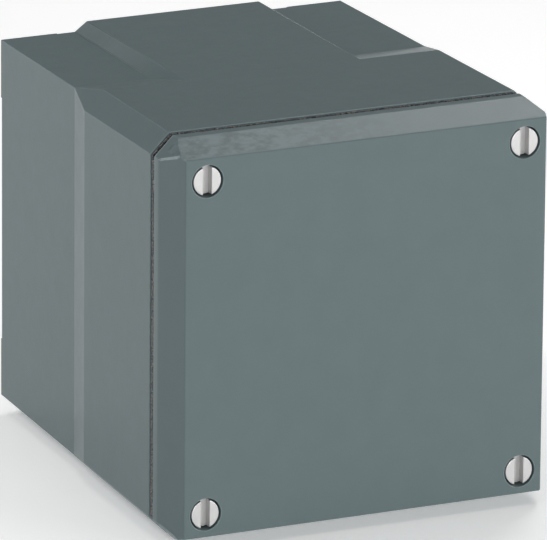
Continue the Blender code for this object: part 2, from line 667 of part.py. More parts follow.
def relay_panel():
    back = RELAY_FACE - GAP
    panel = box((-HALF_45, HALF_45), (PANEL_FACE, back), (PANEL_LOW, RELAY_HIGH))
    through = (PANEL_FACE - OVER, back + OVER)
    cut(panel, rod(DIAL_X, DIAL_Z, DIAL_R + 0.4, PANEL_FACE - OVER, DIAL_BACK + GAP, 24))
    cut(panel, rod(DIAL_X, DIAL_Z, DIAL_STEM_R + 0.4, PANEL_FACE, back + OVER))
    cut(panel, block(BUTTON_X, RESET_HALF, through, RESET_Z, RESET_HALF))
    cut(panel, block(BUTTON_X, STOP_HALF, through, STOP_Z, STOP_HALF))
    finish("relay_panel", panel, "cover_plastic")


def setting_dial():
    front = PANEL_FACE + 0.4
    profile = [(front, DIAL_R - 0.5), (front + 0.5, DIAL_R), (DIAL_BACK, DIAL_R),
               (DIAL_BACK, DIAL_STEM_R), (RELAY_FACE + 4, DIAL_STEM_R)]
    dial = turned(DIAL_X, DIAL_Z, profile, 24)
    cut(dial, block(DIAL_X, 0.6, (PANEL_FACE - OVER, PANEL_FACE + 1.8), DIAL_Z, 4.2))
    parent = group("dial_axis", (DIAL_X, PANEL_FACE, DIAL_Z))
    finish("setting_dial", dial, "dial_plastic", parent, (DIAL_X, PANEL_FACE, DIAL_Z))


def push_button(name, z, half, finish_name):
    """A sprung cap with a flange that keeps it behind the panel."""
    cap = (PANEL_FACE - BUTTON_PROUD, RELAY_FACE + 1)
    button = block(BUTTON_X, half - GAP, cap, z, half - GAP)
    join(button, block(BUTTON_X, half + 1, (RELAY_FACE, RELAY_FACE + 1.5), z, half + 1))
    parent = group(f"{name}_axis", (BUTTON_X, PANEL_FACE, z))
    finish(name, button, finish_name, parent, (BUTTON_X, PANEL_FACE, z))


def heater_strip(number, x):
    """Conductor from the contactor's terminal to the motor terminal, with its bimetal blade."""
    top = RAIL_Z - TERMINAL_Z - CLAMP_HOLE_R
    blade_x = (x - 2.4, x - 1.2)
    strip = box((x - 2.5, x + 2.5), (PIN_FRONT, PIN_FRONT + STRIP_THICK), (-59.5, top))
    join(strip, box(blade_x, (PIN_FRONT + 1, BLADE_BACK), (-43, -39)))
    join(strip, box(blade_x, (BLADE_FRONT, BLADE_BACK), (-42, BAR_Z + 1.5)))
    through = (PIN_FRONT - OVER, PIN_FRONT + STRIP_THICK + OVER)
    cut(strip, rod(x, RELAY_TERMINAL_Z, CLAMP_PASS_R, *through, 12))
    finish(f"heater_strip_{number}", strip, "copper")


def trip_mechanism():
    """The bar that the blades push sideways, and the lever that follows its peg."""
    middle = (LEVER_FRONT + LEVER_BACK) / 2
    bar_y = (BAR_FRONT + BAR_BACK) / 2
    bar = box((-15.4, 15.4), (BAR_FRONT, BAR_BACK), (BAR_Z - 2, BAR_Z + 2))
    for x in POLES:
        finger = (BLADE_FRONT + 1, BAR_FRONT + 1)
        join(bar, box((x - 0.7, x + 0.3), finger, (BAR_Z - 1.5, BAR_Z + 1.5)))
    join(bar, rod(0, BAR_Z, 1.0, BAR_BACK - OVER, LEVER_BACK, 12))
    bar_axis = group("trip_bar_axis", (0, bar_y, BAR_Z))
    finish("trip_bar", bar, "carrier_plastic", bar_axis, (0, bar_y, BAR_Z))
    through = (LEVER_FRONT - OVER, LEVER_BACK + OVER)
    lever = box((-2.9, 2.9), (LEVER_FRONT, LEVER_BACK), (PIVOT_Z - 8, BAR_Z + 2))
    cut(lever, box((-1.5, 1.5), through, (BAR_Z - 2, BAR_Z + 3)))
    cut(lever, rod(0, PIVOT_Z, PIVOT_R + 0.4, *through))
    lever_axis = group("trip_lever_axis", (0, middle, PIVOT_Z))
    finish("trip_lever", lever, "dial_plastic", lever_axis, (0, middle, PIVOT_Z))


def coil_link_wire():
    """Insulated link from the coil's second terminal down to the relay's trip contact."""
    route = [(COIL_X + 3.9, COIL_TAB - 1.6, COIL_Z), (27.0, COIL_TAB - 2.0, 65.0), (33.0, 116.0, 58.0),
             (34.0, 112.0, 40.0), (34.0, 108.0, 10.0), (34.0, 104.0, -18.0), (32.0, 100.0, -34.0),
             (27.0, 98.0, -39.0), (HALF_45 + 0.4, 97.5, -40.0)]
    curve = bpy.data.curves.new("coil_link_wire", "CURVE")
    curve.dimensions = "3D"
    curve.bevel_depth = WIRE_R * MM
    curve.bevel_resolution = 2
    curve.use_fill_caps = True
    points = smooth_route([place(*point) for point in route], 3)
    spline = curve.splines.new("POLY")
    spline.points.add(len(points) - 1)
    for slot, point in zip(spline.points, points):
        slot.co = (*point, 1.0)
    wire = bpy.data.objects.new("coil_link_wire", curve)
    curve.materials.append(material("wire_insulation"))
    bpy.context.scene.collection.objects.link(wire)


def smooth_route(points, steps):
    """Points along a smooth curve through the given ones."""
    padded = [points[0]] + points + [points[-1]]
    smooth = []
    for before, start, end, after in zip(padded, padded[1:], padded[2:], padded[3:]):
        for step in range(steps):
            t = step / steps
            smooth.append(0.5 * (2 * start + (end - before) * t
                                 + (2 * before - 5 * start + 4 * end - after) * t ** 2
                                 + (3 * start - before - 3 * end + after) * t ** 3))
    return smooth + [points[-1]]


def build():
    for old in list(bpy.data.objects):
        bpy.data.objects.remove(old)
    enclosure_base()
    cover_gasket()
    cover_axis = group("cover_axis", (0, 0, 0))
    cover(cover_axis)
    for number, (x, z) in enumerate(corners(SCREW), 1):
        screw_axis = group(f"cover_screw_{number}_axis", (x, HEAD_TOP, z), cover_axis)
        cover_screw(number, x, z, screw_axis)
    mounting_rail()
    earth_terminal()
    contactor_base()
    contactor_housing()
    arc_cover()
    carrier_axis = group("carrier_axis", (0, HOUSING_FACE, RAIL_Z))
    contact_carrier(carrier_axis)
    magnet(carrier_axis)
    coil()
    for number, x in enumerate(POLES, 1):
        contact_bridge(number, x, carrier_axis)
        contact_spring(number, x, carrier_axis)
        fixed_contact(f"line_contact_{number}", x, 1)
        fixed_contact(f"load_contact_{number}", x, -1)
        heater_strip(number, x)
        for kind, z, front in (("line", RAIL_Z + TERMINAL_Z, STRIP_FRONT),
                               ("load", RAIL_Z - TERMINAL_Z, PIN_FRONT),
                               ("relay", RELAY_TERMINAL_Z, PIN_FRONT)):
            pan_screw(f"{kind}_screw_{number}", x, z, CLAMP_SCREW, front - GAP, CLAMP_END)
    for number, side in enumerate((-1, 1), 1):
        coils = spring(0, RAIL_Z + side * SPRING_Z, RETURN_SPRING_R, RETURN_WIRE_R,
                       CARRIER_BACK + GAP, SPRING_BACK, 6)
        finish(f"return_spring_{number}", coils, "spring_steel")
    relay_housing()
    relay_panel()
    setting_dial()
    push_button("reset_button", RESET_Z, RESET_HALF, "reset_plastic")
    push_button("stop_button", STOP_Z, STOP_HALF, "stop_plastic")
    trip_mechanism()
    coil_link_wire()


build()
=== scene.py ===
"""The looks of the magnetic motor starter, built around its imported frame.

Sizes are in millimetres in the enclosure's own frame: x from the middle to the right, y back from
the front face, z up from the middle. place() turns them into metres in the row frame.
"""
import json
import math

import bmesh
import bpy
from mathutils import Matrix, Vector, noise

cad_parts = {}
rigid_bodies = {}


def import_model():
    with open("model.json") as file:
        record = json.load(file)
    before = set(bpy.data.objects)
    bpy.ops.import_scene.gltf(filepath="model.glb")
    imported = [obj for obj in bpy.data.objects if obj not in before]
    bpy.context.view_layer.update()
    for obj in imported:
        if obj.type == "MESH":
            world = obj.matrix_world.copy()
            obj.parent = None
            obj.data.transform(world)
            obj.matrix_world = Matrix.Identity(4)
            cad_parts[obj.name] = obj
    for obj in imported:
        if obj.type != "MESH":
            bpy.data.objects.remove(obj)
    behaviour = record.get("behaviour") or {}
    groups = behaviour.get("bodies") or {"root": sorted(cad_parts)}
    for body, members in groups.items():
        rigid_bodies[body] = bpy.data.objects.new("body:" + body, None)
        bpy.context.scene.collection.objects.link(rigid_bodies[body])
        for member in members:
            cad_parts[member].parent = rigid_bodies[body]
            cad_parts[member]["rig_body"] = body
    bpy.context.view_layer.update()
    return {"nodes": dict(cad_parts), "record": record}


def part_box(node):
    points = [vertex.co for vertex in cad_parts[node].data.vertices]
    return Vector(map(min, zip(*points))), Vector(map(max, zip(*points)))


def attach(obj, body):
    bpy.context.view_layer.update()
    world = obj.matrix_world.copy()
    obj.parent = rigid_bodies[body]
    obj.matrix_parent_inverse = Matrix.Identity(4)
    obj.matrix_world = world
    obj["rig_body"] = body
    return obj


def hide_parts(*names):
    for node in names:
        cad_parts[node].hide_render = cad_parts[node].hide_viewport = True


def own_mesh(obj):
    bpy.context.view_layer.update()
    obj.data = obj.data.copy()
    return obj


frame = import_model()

MM = 0.001
COVER_LOW, COVER_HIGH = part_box("cover")
BASE_LOW, BASE_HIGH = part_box("enclosure_base")
FRONT = COVER_LOW.y
MIDDLE_Z = (COVER_LOW.z + COVER_HIGH.z) / 2
SLOTS = {part["node"]: part["material_slot"] for part in frame["record"]["subparts"]}

# Enclosure
HALF = (COVER_HIGH.x - COVER_LOW.x) / 2 / MM
DEPTH = (BASE_HIGH.y - FRONT) / MM
BASE_FRONT = (BASE_LOW.y - FRONT) / MM
SEAM_GAP = 3.1
COVER_BACK = BASE_FRONT - SEAM_GAP
SEAM = BASE_FRONT - SEAM_GAP / 2
FACE_HALF = 70.5        # half of the flat front face
BEVEL_DEPTH = 13.7      # the cover's bevel runs back this far
BEVEL_EDGE = 0.7        # rounding between the front face and the bevel
BEVEL_SHOULDER = 0.8    # half width of the rounding behind the bevel
RECESS = 3.6            # depth of the rear recess on every side
CHAMFER = 2 * RECESS    # 45 degree chamfer on the four long edges, which runs out in the recess
DRAFT = 0.017           # walls close in towards the back, per millimetre
SLOPE_START, SLOPE_END = 82.6, 100.8    # the rear recess slopes in between these
BAND_TOP, BAND_FOOT = 34.8, 39.7        # half width of the raised band on top and bottom
SKIN = 0.01             # the softened outside lies this far inside the frame's flat faces
BASE_RIM = 0.45         # rounding of the base's front rim
BASE_REAR = 0.4         # and of its rear edges
KINK = 0.5              # half width of the rounding where the recess starts and ends
OVER = 1.0              # a cutting shape runs this far past the face that it trims
ROOT_2 = math.sqrt(2)
WEAR_AND_HIGHLIGHT_WIDTH = 1.4        # a face narrower than this is an edge's rounding
MOTTLE_RIGHT, MOTTLE_LEFT = 30.0, -40.0   # the painted reflection mottling on the bevel fades in from right to left

# Seal
GASKET_LOW, GASKET_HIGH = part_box("cover_gasket")
LIP_INSET = HALF - GASKET_HIGH.x / MM
FOOT_INSET, INNER_INSET = 1.8, 4.0
LIP_SHELF = 2.2         # the lip touches the cover up to here from the outside
LIP_GAP = 0.3           # between the lip and the base's rim
LIP_SLACK = 1.2         # the lip has settled this far back along the top
SLACK_START, SLACK_FULL = 64.0, 68.0    # heights between which it starts to

# Cover screws
HEAD_R = 5.35
HEAD_TOP, HEAD_BACK = 0.4, 4.9
SLOT_WIDE, SLOT_DEEP = 3.4, 3.1
SHANK_R, SHANK_END = 2.5, 44.0
SINK_R, SINK_DEEP = 5.95, 5.2
PITCH, THREAD = 0.8, 0.3
NECK_END, THREAD_START = 27.0, 27.5

# Colours, linear
ENCLOSURE_GREY = (0.117, 0.155, 0.161)
WHITE = (1, 1, 1, 1)


def place(x, y, z):
    """A point of the enclosure's frame in metres."""
    return Vector((x * MM, FRONT + y * MM, MIDDLE_Z + z * MM))


# ---------------------------------------------------------------- mesh tools

def object_from(bm, name):
    """An object from a bmesh, welded and with its faces pointing out."""
    bmesh.ops.remove_doubles(bm, verts=bm.verts, dist=0.000001)
    bmesh.ops.dissolve_degenerate(bm, edges=bm.edges, dist=0.000001)
    bmesh.ops.recalc_face_normals(bm, faces=bm.faces)
    mesh = bpy.data.meshes.new(name)
    bm.to_mesh(mesh)
    bm.free()
    made = bpy.data.objects.new(name, mesh)
    bpy.context.scene.collection.objects.link(made)
    return made


def bridge(bm, one, other):
    """Quads between two closed loops of as many vertices."""
    for i in range(len(one)):
        j = (i + 1) % len(one)
        bm.faces.new((one[i], one[j], other[j], other[i]))


def loft(rings):
    """A closed solid through rings of points in enclosure millimetres."""
    bm = bmesh.new()
    loops = [[bm.verts.new(place(*point)) for point in ring] for ring in rings]
    for lower, upper in zip(loops, loops[1:]):
        bridge(bm, lower, upper)
    bm.faces.new(loops[0])
    bm.faces.new(loops[-1])
    return object_from(bm, "loft")


def turned(x, z, sides, profile):
    """A solid along y through x, z. The profile is (y, reach) from front to back, and a reach is a
    radius or a function of the share of a turn.
    """
    rings = []
    for y, reach in profile:
        ring = []
        for side in range(sides):
            angle = math.tau * side / sides
            radius = reach(side / sides) if callable(reach) else reach
            ring.append((x + radius * math.cos(angle), y, z + radius * math.sin(angle)))
        rings.append(ring)
    return loft(rings)


def node_copy(node):
    """A welded copy of a frame node's mesh, free to be changed."""
    bm = bmesh.new()
    bm.from_mesh(frame["nodes"][node].data)
    return object_from(bm, node + "_copy")


def bake(thing):
    """Turn an object's modifiers into its mesh."""
    graph = bpy.context.evaluated_depsgraph_get()
    mesh = bpy.data.meshes.new_from_object(thing.evaluated_get(graph))
    thing.modifiers.clear()
    thing.data = mesh
    return thing


def combine(thing, operation, other):
    """Cut one solid by another, or keep what both fill, and use the other up."""
    step = thing.modifiers.new("combine", "BOOLEAN")
    step.operation = operation
    step.solver = "EXACT"
    step.object = other
    bake(thing)
    bpy.data.objects.remove(other)
    return thing


def mark_wear_and_highlight(thing, turn=20):
    """Flag the narrow faces that round an outside edge: those whose neighbours fall away steeply. The
    enclosure paints them paler, part edge wear and part painted highlight.
    """
    bm = bmesh.new()
    bm.from_mesh(thing.data)
    bm.faces.ensure_lookup_table()
    turns = [0.0] * len(bm.faces)
    for edge in bm.edges:
        if len(edge.link_faces) != 2:
            continue
        one, other = edge.link_faces
        across = other.calc_center_median() - one.calc_center_median()
        if one.normal.dot(across) >= 0:
            continue
        angle = math.degrees(one.normal.angle(other.normal, 0))
        for face in (one, other):
            longest = max(side.calc_length() for side in face.edges)
            if edge.calc_length() > longest / 2 and face.calc_area() < longest * WEAR_AND_HIGHLIGHT_WIDTH * MM:
                turns[face.index] += angle
    bm.free()
    flags = thing.data.attributes.new("wear_and_highlight", "FLOAT", "FACE")
    flags.data.foreach_set("value", [1.0 if total > turn else 0.0 for total in turns])


def shade(thing, smooth_below):
    """Smooth shading that keeps flat faces flat and breaks at edges sharper than the angle."""
    mesh = thing.data
    mesh.shade_smooth()
    mesh.set_sharp_from_angle(angle=math.radians(smooth_below))
    weighted = thing.modifiers.new("weighted", "WEIGHTED_NORMAL")
    weighted.keep_sharp = True
    weighted.weight = 100
    return bake(thing)


def install(thing, name, node, finish, smooth_below=40):
    """Name a piece, shade it, let it stand for its node and ride where the node rides."""
    mark_wear_and_highlight(thing)
    shade(thing, smooth_below)
    thing.name = name
    thing.data.name = name
    thing.data.materials.clear()
    thing.data.materials.append(finish)
    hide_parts(node)
    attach(thing, frame["nodes"][node]["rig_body"])
    return thing


# ---------------------------------------------------------------- enclosure

def corner_arc(half, leg, radius, steps=4):
    """One corner of an outline with its chamfer, softened, from the upper side to the right side."""
    inner = half - radius
    leg = max(0.0, leg - (2 - ROOT_2) * radius)
    points = []
    for x, z, start in ((inner - leg, inner, 90), (inner, inner - leg, 45)):
        for step in range(steps + 1):
            angle = math.radians(start - 45 * step / steps)
            points.append((x + radius * math.cos(angle), z + radius * math.sin(angle)))
    return points


def all_round(quarter):
    """The whole outline from its upper right quarter."""
    right = quarter + [(x, -z) for x, z in reversed(quarter)]
    return right + [(-x, z) for x, z in reversed(right)]


def eased_corner(before, corner, after, trim):
    """Four points that round one corner of an outline."""
    before, corner, after = Vector(before), Vector(corner), Vector(after)
    start = corner + (before - corner).normalized() * trim
    end = corner + (after - corner).normalized() * trim
    points = []
    for share in (0, 1 / 3, 2 / 3, 1):
        point = start * (1 - share) ** 2 + corner * 2 * share * (1 - share) + end * share ** 2
        points.append((point.x, point.y))
    return points


def soft_ramp(distance, width):
    """Zero before a kink and the distance after it, with a parabola across the kink."""
    if distance <= -width:
        return 0.0
    if distance >= width:
        return distance
    return (distance + width) ** 2 / (4 * width)


def base_ring(y, inset):
    """One station of the base, that far inside the plain outline."""
    ramp = soft_ramp(y - SLOPE_START, KINK) - soft_ramp(y - SLOPE_END, KINK)
    drop = RECESS * ramp / (SLOPE_END - SLOPE_START)
    half = HALF - DRAFT * (y - SEAM) - inset - SKIN
    leg = max(0.0, CHAMFER - 2 * drop - (2 - ROOT_2) * inset)
    foot = BAND_TOP + (BAND_FOOT - BAND_TOP) * drop / RECESS
    foot = max(foot, BAND_TOP + 1.5)
    low = half - drop
    quarter = eased_corner((0, half), (BAND_TOP, half), (foot, low), 0.4)
    quarter += eased_corner((BAND_TOP, half), (foot, low), (low, low), 0.4)
    quarter += corner_arc(low, leg, 0.7 - 0.4 * drop / RECESS)
    return [(x, y, z) for x, z in all_round(quarter)]


def rounded_end(y, radius, direction):
    """Stations (y, inset) that round a rim which faces back (1) or front (-1)."""
    stations = []
    for step in range(4):
        angle = math.radians(30 * step)
        reach = radius * (1 - math.sin(angle))
        stations.append((y - direction * reach, radius * (1 - math.cos(angle))))
    return stations


def enclosure_base(finish):
    """The base: the frame's node inside a skin whose edges are all softened."""
    stations = [(BASE_FRONT - OVER, BASE_RIM)]
    stations += list(reversed(rounded_end(BASE_FRONT, BASE_RIM, -1)))
    for kink in (SLOPE_START, SLOPE_END):
        stations += [(kink + KINK * share, 0.0) for share in (-1, -0.5, 0, 0.5, 1)]
    stations += rounded_end(DEPTH, BASE_REAR, 1)
    stations.append((DEPTH + OVER, BASE_REAR))
    skin = loft([base_ring(y, inset) for y, inset in stations])
    body = combine(node_copy("enclosure_base"), "INTERSECT", skin)
    return install(body, "base_shell", "enclosure_base", finish)


def cover_ring(y, half, upper, side, inset=0.0):
    """One station of the cover. Narrow flats trim the chamfer's upper edge and its side edge."""
    across = 2 * HALF - CHAMFER - ROOT_2 * (inset + SKIN)
    half -= inset + SKIN
    leg = max(0.35, 2 * half - across)
    slant = math.sqrt(0.5)
    room = leg * slant * 0.9
    upper, side = min(upper, room), min(side, room)
    quarter = [(half - leg - upper, half), (half - leg + slant * upper, half - slant * upper),
               (half - slant * side, half - leg + slant * side), (half, half - leg - side)]
    return [(x, y, z) for x, z in all_round(quarter)]


def cover(finish):
    """The cover: a softened block, hollow as the frame's node is, with round counterbores."""
    grow = (HALF - FACE_HALF) / BEVEL_DEPTH
    slant = math.hypot(1, grow)
    flats, soft = (0.2, 0.62), (0.15, 0.15)
    rings = []
    steps = 9
    for step in range(steps + 1):
        angle = step / steps * math.atan2(1, grow)
        y = BEVEL_EDGE * (1 - math.cos(angle))
        half = FACE_HALF + BEVEL_EDGE * (grow - slant + math.sin(angle))
        rings.append(cover_ring(y + SKIN, half, *soft))
    for y in (2.9, 3.6, 4.6, BEVEL_DEPTH - BEVEL_SHOULDER):
        rings.append(cover_ring(y, FACE_HALF + grow * y, *flats))
    for step in range(1, 7):
        y = BEVEL_DEPTH + BEVEL_SHOULDER * (step / 3 - 1)
        half = HALF - grow * soft_ramp(BEVEL_DEPTH - y, BEVEL_SHOULDER)
        rings.append(cover_ring(y, half, *(flats if step < 4 else soft)))
    for reach, inset in ((1.1, 0.0), (1.0, 0.01), (0.1, 0.2), (0.0, 0.3), (-15, 0.3)):
        rings.append(cover_ring(COVER_BACK - reach, HALF, *soft, inset))
    body = combine(node_copy("cover"), "INTERSECT", loft(rings))
    for number in range(1, 5):
        x, z = screw_place(number)
        lip = [(-1, SINK_R + 0.35), (SKIN, SINK_R + 0.35), (0.12, SINK_R + 0.12),
               (0.35, SINK_R), (SINK_DEEP - 0.02, SINK_R)]
        combine(body, "DIFFERENCE", turned(x, z, 64, lip))
    return install(body, "cover_shell", "cover", finish, 10)


def rough_loop(bm, inset, y, coarse, gives):
    """One ring of the seal's skin, with points a short step apart that noise moves by up to coarse."""
    spacing, roughness = 0.45, 2.0
    aside = Vector((40, 0, 0))
    half = HALF - inset
    leg = CHAMFER - (2 - ROOT_2) * inset
    outline = [Vector(point) for point in all_round([(half - leg, half), (half, half - leg)])]
    loop = []
    for here, there in zip(outline, outline[1:] + outline[:1]):
        nominal = 2 * HALF if (there - here).length > CHAMFER * 2 else CHAMFER
        steps = max(2, round(nominal / spacing))
        out = Vector(((here - there).y, (there - here).x)).normalized()
        if out.dot(here + there) < 0:
            out = -out
        for step in range(steps):
            point = here.lerp(there, step / steps)
            sample = Vector((point.x, point.y, y)) * roughness
            point = point + out * coarse * noise.noise(sample)
            shift = coarse * noise.noise(sample + aside)
            raised = (point.y - SLACK_START) / (SLACK_FULL - SLACK_START)
            shift += gives * LIP_SLACK * min(1.0, max(0.0, raised))
            loop.append(bm.verts.new(place(point.x, y + shift, point.y)))
    return loop


def gasket(finish):
    """The seal: a cut foam ring whose rough lip fills the seam, on a foot in the base's rebate."""
    front = (GASKET_LOW.y - FRONT) / MM
    back = (GASKET_HIGH.y - FRONT) / MM
    lip_back = BASE_FRONT - LIP_GAP
    eased = LIP_INSET + 0.3
    rows = [(INNER_INSET, front, 0.0, 0), (LIP_SHELF, front, 0.0, 0),
            (FOOT_INSET, front, 0.05, 1), (eased, front + 0.05, 0.16, 1),
            (LIP_INSET, front + 0.35, 0.2, 1), (LIP_INSET, front + 0.9, 0.2, 0.6),
            (LIP_INSET, front + 1.5, 0.2, 0.2), (LIP_INSET, lip_back - 0.4, 0.2, 0),
            (eased, lip_back - 0.05, 0.12, 0), (FOOT_INSET, lip_back, 0.0, 0),
            (FOOT_INSET, back, 0.0, 0), (INNER_INSET, back, 0.0, 0)]
    bm = bmesh.new()
    loops = [rough_loop(bm, *row) for row in rows]
    for one, other in zip(loops, loops[1:] + loops[:1]):
        bridge(bm, one, other)
    return install(object_from(bm, "gasket"), "foam_seal", "cover_gasket", finish, 60)


# ---------------------------------------------------------------- cover screws

def screw_place(number):
    """Where a cover screw's axis is, in enclosure millimetres from the middle."""
    low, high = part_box(f"cover_screw_{number}")
    middle = (low + high) / 2
    return middle.x / MM, (middle.z - MIDDLE_Z) / MM


def thread_at(y):
    """The reach of a screw's rolled thread at that depth, round a turn."""
    return lambda share: SHANK_R - THREAD * abs(2 * ((y / PITCH - share) % 1.0) - 1)


def screw_slot(x, z):
    """The solid that cuts a screw's open ended slot, with eased edges."""
    half = SLOT_WIDE / 2
    reach = HEAD_R + 1
    rows = ((HEAD_TOP - 1, 2.0), (HEAD_TOP, half + 0.12), (HEAD_TOP + 0.12, half),
            (HEAD_TOP + SLOT_DEEP - 0.15, half), (HEAD_TOP + SLOT_DEEP, half - 0.15))
    return loft([[(x - wide, y, z - reach), (x + wide, y, z - reach),
                  (x + wide, y, z + reach), (x - wide, y, z + reach)] for y, wide in rows])


def cover_screw(number, finish):
    """A flat headed captive screw with an open ended slot and a rolled thread."""
    x, z = screw_place(number)
    rows = [(HEAD_TOP, 0.0), (HEAD_TOP, HEAD_R - 0.45), (HEAD_TOP + 0.04, HEAD_R - 0.25),
            (HEAD_TOP + 0.15, HEAD_R - 0.08), (HEAD_TOP + 0.35, HEAD_R), (HEAD_BACK - 0.2, HEAD_R),
            (HEAD_BACK, HEAD_R - 0.2), (HEAD_BACK, SHANK_R + 0.3), (HEAD_BACK + 0.3, SHANK_R),
            (NECK_END, SHANK_R)]
    threaded = int((SHANK_END - 1.5 - THREAD_START) / PITCH * 4)
    for step in range(threaded + 1):
        y = THREAD_START + PITCH * step / 4
        rows.append((y, thread_at(y)))
    rows += [(SHANK_END - 1.2, SHANK_R - THREAD), (SHANK_END, 1.2), (SHANK_END, 0.0)]
    screw = combine(turned(x, z, 48, rows), "DIFFERENCE", screw_slot(x, z))
    return install(screw, f"slotted_screw_{number}", f"cover_screw_{number}", finish, 35)


# ---------------------------------------------------------------- parts inside

# Node: name of the piece that replaces it, and the width of its rounded edges
SOFT_PARTS = {
    "contactor_base": ("contactor_foot", 0.35), "contactor_housing": ("contact_block", 0.35),
    "arc_cover": ("contact_block_lid", 0.4), "relay_housing": ("relay_body", 0.35),
    "relay_panel": ("relay_front", 0.4), "setting_dial": ("current_dial", 0.2),
    "reset_button": ("reset_cap", 0.3), "stop_button": ("stop_cap", 0.3),
    "contact_carrier": ("moving_carrier", 0.2), "coil_bobbin": ("coil_former", 0.2),
    "earth_bar": ("earth_terminal", 0.2),
}


def softened(node, name, width, finish):
    """The node's own shape with its sharp edges rounded off by that width."""
    body = node_copy(node)
    bm = bmesh.new()
    bm.from_mesh(body.data)
    bmesh.ops.dissolve_limit(bm, angle_limit=math.radians(1), verts=bm.verts, edges=bm.edges)
    bm.to_mesh(body.data)
    bm.free()
    rounding = body.modifiers.new("rounding", "BEVEL")
    rounding.width = width * MM
    rounding.segments = 2
    rounding.limit_method = "ANGLE"
    rounding.angle_limit = math.radians(40)
    bake(body)
    return install(body, name, node, finish)


def return_springs(finish):
    """The springs behind the carrier, which its travel shortens from their front ends."""
    for number in (1, 2):
        node = f"return_spring_{number}"
        coils = install(node_copy(node), f"pressed_spring_{number}", node, finish)
        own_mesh(coils)


# ---------------------------------------------------------------- materials

class Look:
    """A Principled material and short calls that add the nodes which vary over its surface."""

    def __init__(self, name, roughness, metallic=0.0, ior=1.5):
        self.made = bpy.data.materials.new(name)
        self.made.use_nodes = True
        self.tree = self.made.node_tree
        self.shader = self.tree.nodes["Principled BSDF"]
        self.shader.inputs["Roughness"].default_value = roughness
        self.shader.inputs["Metallic"].default_value = metallic
        self.shader.inputs["IOR"].default_value = ior
        self.place = self.add("ShaderNodeTexCoord").outputs["Object"]

    def add(self, kind, inputs=(), **settings):
        """A node with these settings, and a socket or a value for each of these inputs."""
        node = self.tree.nodes.new(kind)
        for key, value in settings.items():
            setattr(node, key, value)
        for key, value in dict(inputs).items():
            if isinstance(value, bpy.types.NodeSocket):
                self.tree.links.new(value, node.inputs[key])
            else:
                node.inputs[key].default_value = value
        return node

    def noise(self, scale, detail=3.0, rough=0.55, stretch=(1, 1, 1)):
        """Noise of that many features to the metre, stretched by a scale along each axis."""
        where = self.add("ShaderNodeMapping", {"Vector": self.place, "Scale": stretch}).outputs["Vector"]
        inputs = {"Vector": where, "Scale": scale, "Detail": detail, "Roughness": rough}
        return self.add("ShaderNodeTexNoise", inputs).outputs["Fac"]

    def between(self, value, low, high, to_low=0.0, to_high=1.0):
        """Map a socket's values from low and high to the other two, and no further."""
        inputs = {"Value": value, "From Min": low, "From Max": high, "To Min": to_low, "To Max": to_high}
        return self.add("ShaderNodeMapRange", inputs, clamp=True).outputs["Result"]

    def sums(self, operation, first, second):
        node = self.add("ShaderNodeMath", {0: first, 1: second}, operation=operation)
        return node.outputs["Value"]

    def blend(self, share, first, second, mode="MIX"):
        """Mix two colours, each a socket or a linear (r, g, b), by a share that is a socket."""
        node = self.add("ShaderNodeMix", data_type="RGBA", blend_type=mode)
        takes = {socket.identifier: socket for socket in node.inputs}
        gives = {socket.identifier: socket for socket in node.outputs}
        self.tree.links.new(share, takes["Factor_Float"])
        for key, value in (("A_Color", first), ("B_Color", second)):
            if isinstance(value, bpy.types.NodeSocket):
                self.tree.links.new(value, takes[key])
            else:
                takes[key].default_value = (*value, 1.0)
        return gives["Result_Color"]

    def edges(self, reach):
        """One along edges within reach millimetres, and zero on flat faces."""
        bevelled = self.add("ShaderNodeBevel", {"Radius": reach * MM}, samples=4).outputs["Normal"]
        plain = self.add("ShaderNodeNewGeometry").outputs["Normal"]
        turn = self.add("ShaderNodeVectorMath", {0: bevelled, 1: plain}, operation="DOT_PRODUCT")
        return self.between(turn.outputs["Value"], 0.995, 0.9)

    def bevel_reflection_mottle(self):
        """One on the left of the upper bevel, where a mottled reflection is painted, fading to the right.
        """
        axes = self.add("ShaderNodeSeparateXYZ", {0: self.place}).outputs
        low, high = place(0, 0, FACE_HALF).z, FRONT + BEVEL_DEPTH * MM
        above = self.between(axes["Z"], low, low + 0.5 * MM)
        ahead = self.between(axes["Y"], high, high - 0.5 * MM)
        leftward = self.between(axes["X"], MOTTLE_RIGHT * MM, MOTTLE_LEFT * MM)
        return self.sums("MULTIPLY", self.sums("MULTIPLY", above, ahead), leftward)

    def paint(self, colour):
        self.tree.links.new(colour, self.shader.inputs["Base Color"])

    def vary_roughness(self, value):
        self.tree.links.new(value, self.shader.inputs["Roughness"])

    def bump(self, height, depth):
        """Raise the surface by depth millimetres where the height is one."""
        bump = self.add("ShaderNodeBump", {"Height": height, "Distance": depth * MM, "Strength": 1.0})
        self.tree.links.new(bump.outputs["Normal"], self.shader.inputs["Normal"])


def times(colour, factor):
    """A darker or lighter colour."""
    return tuple(part * factor for part in colour)


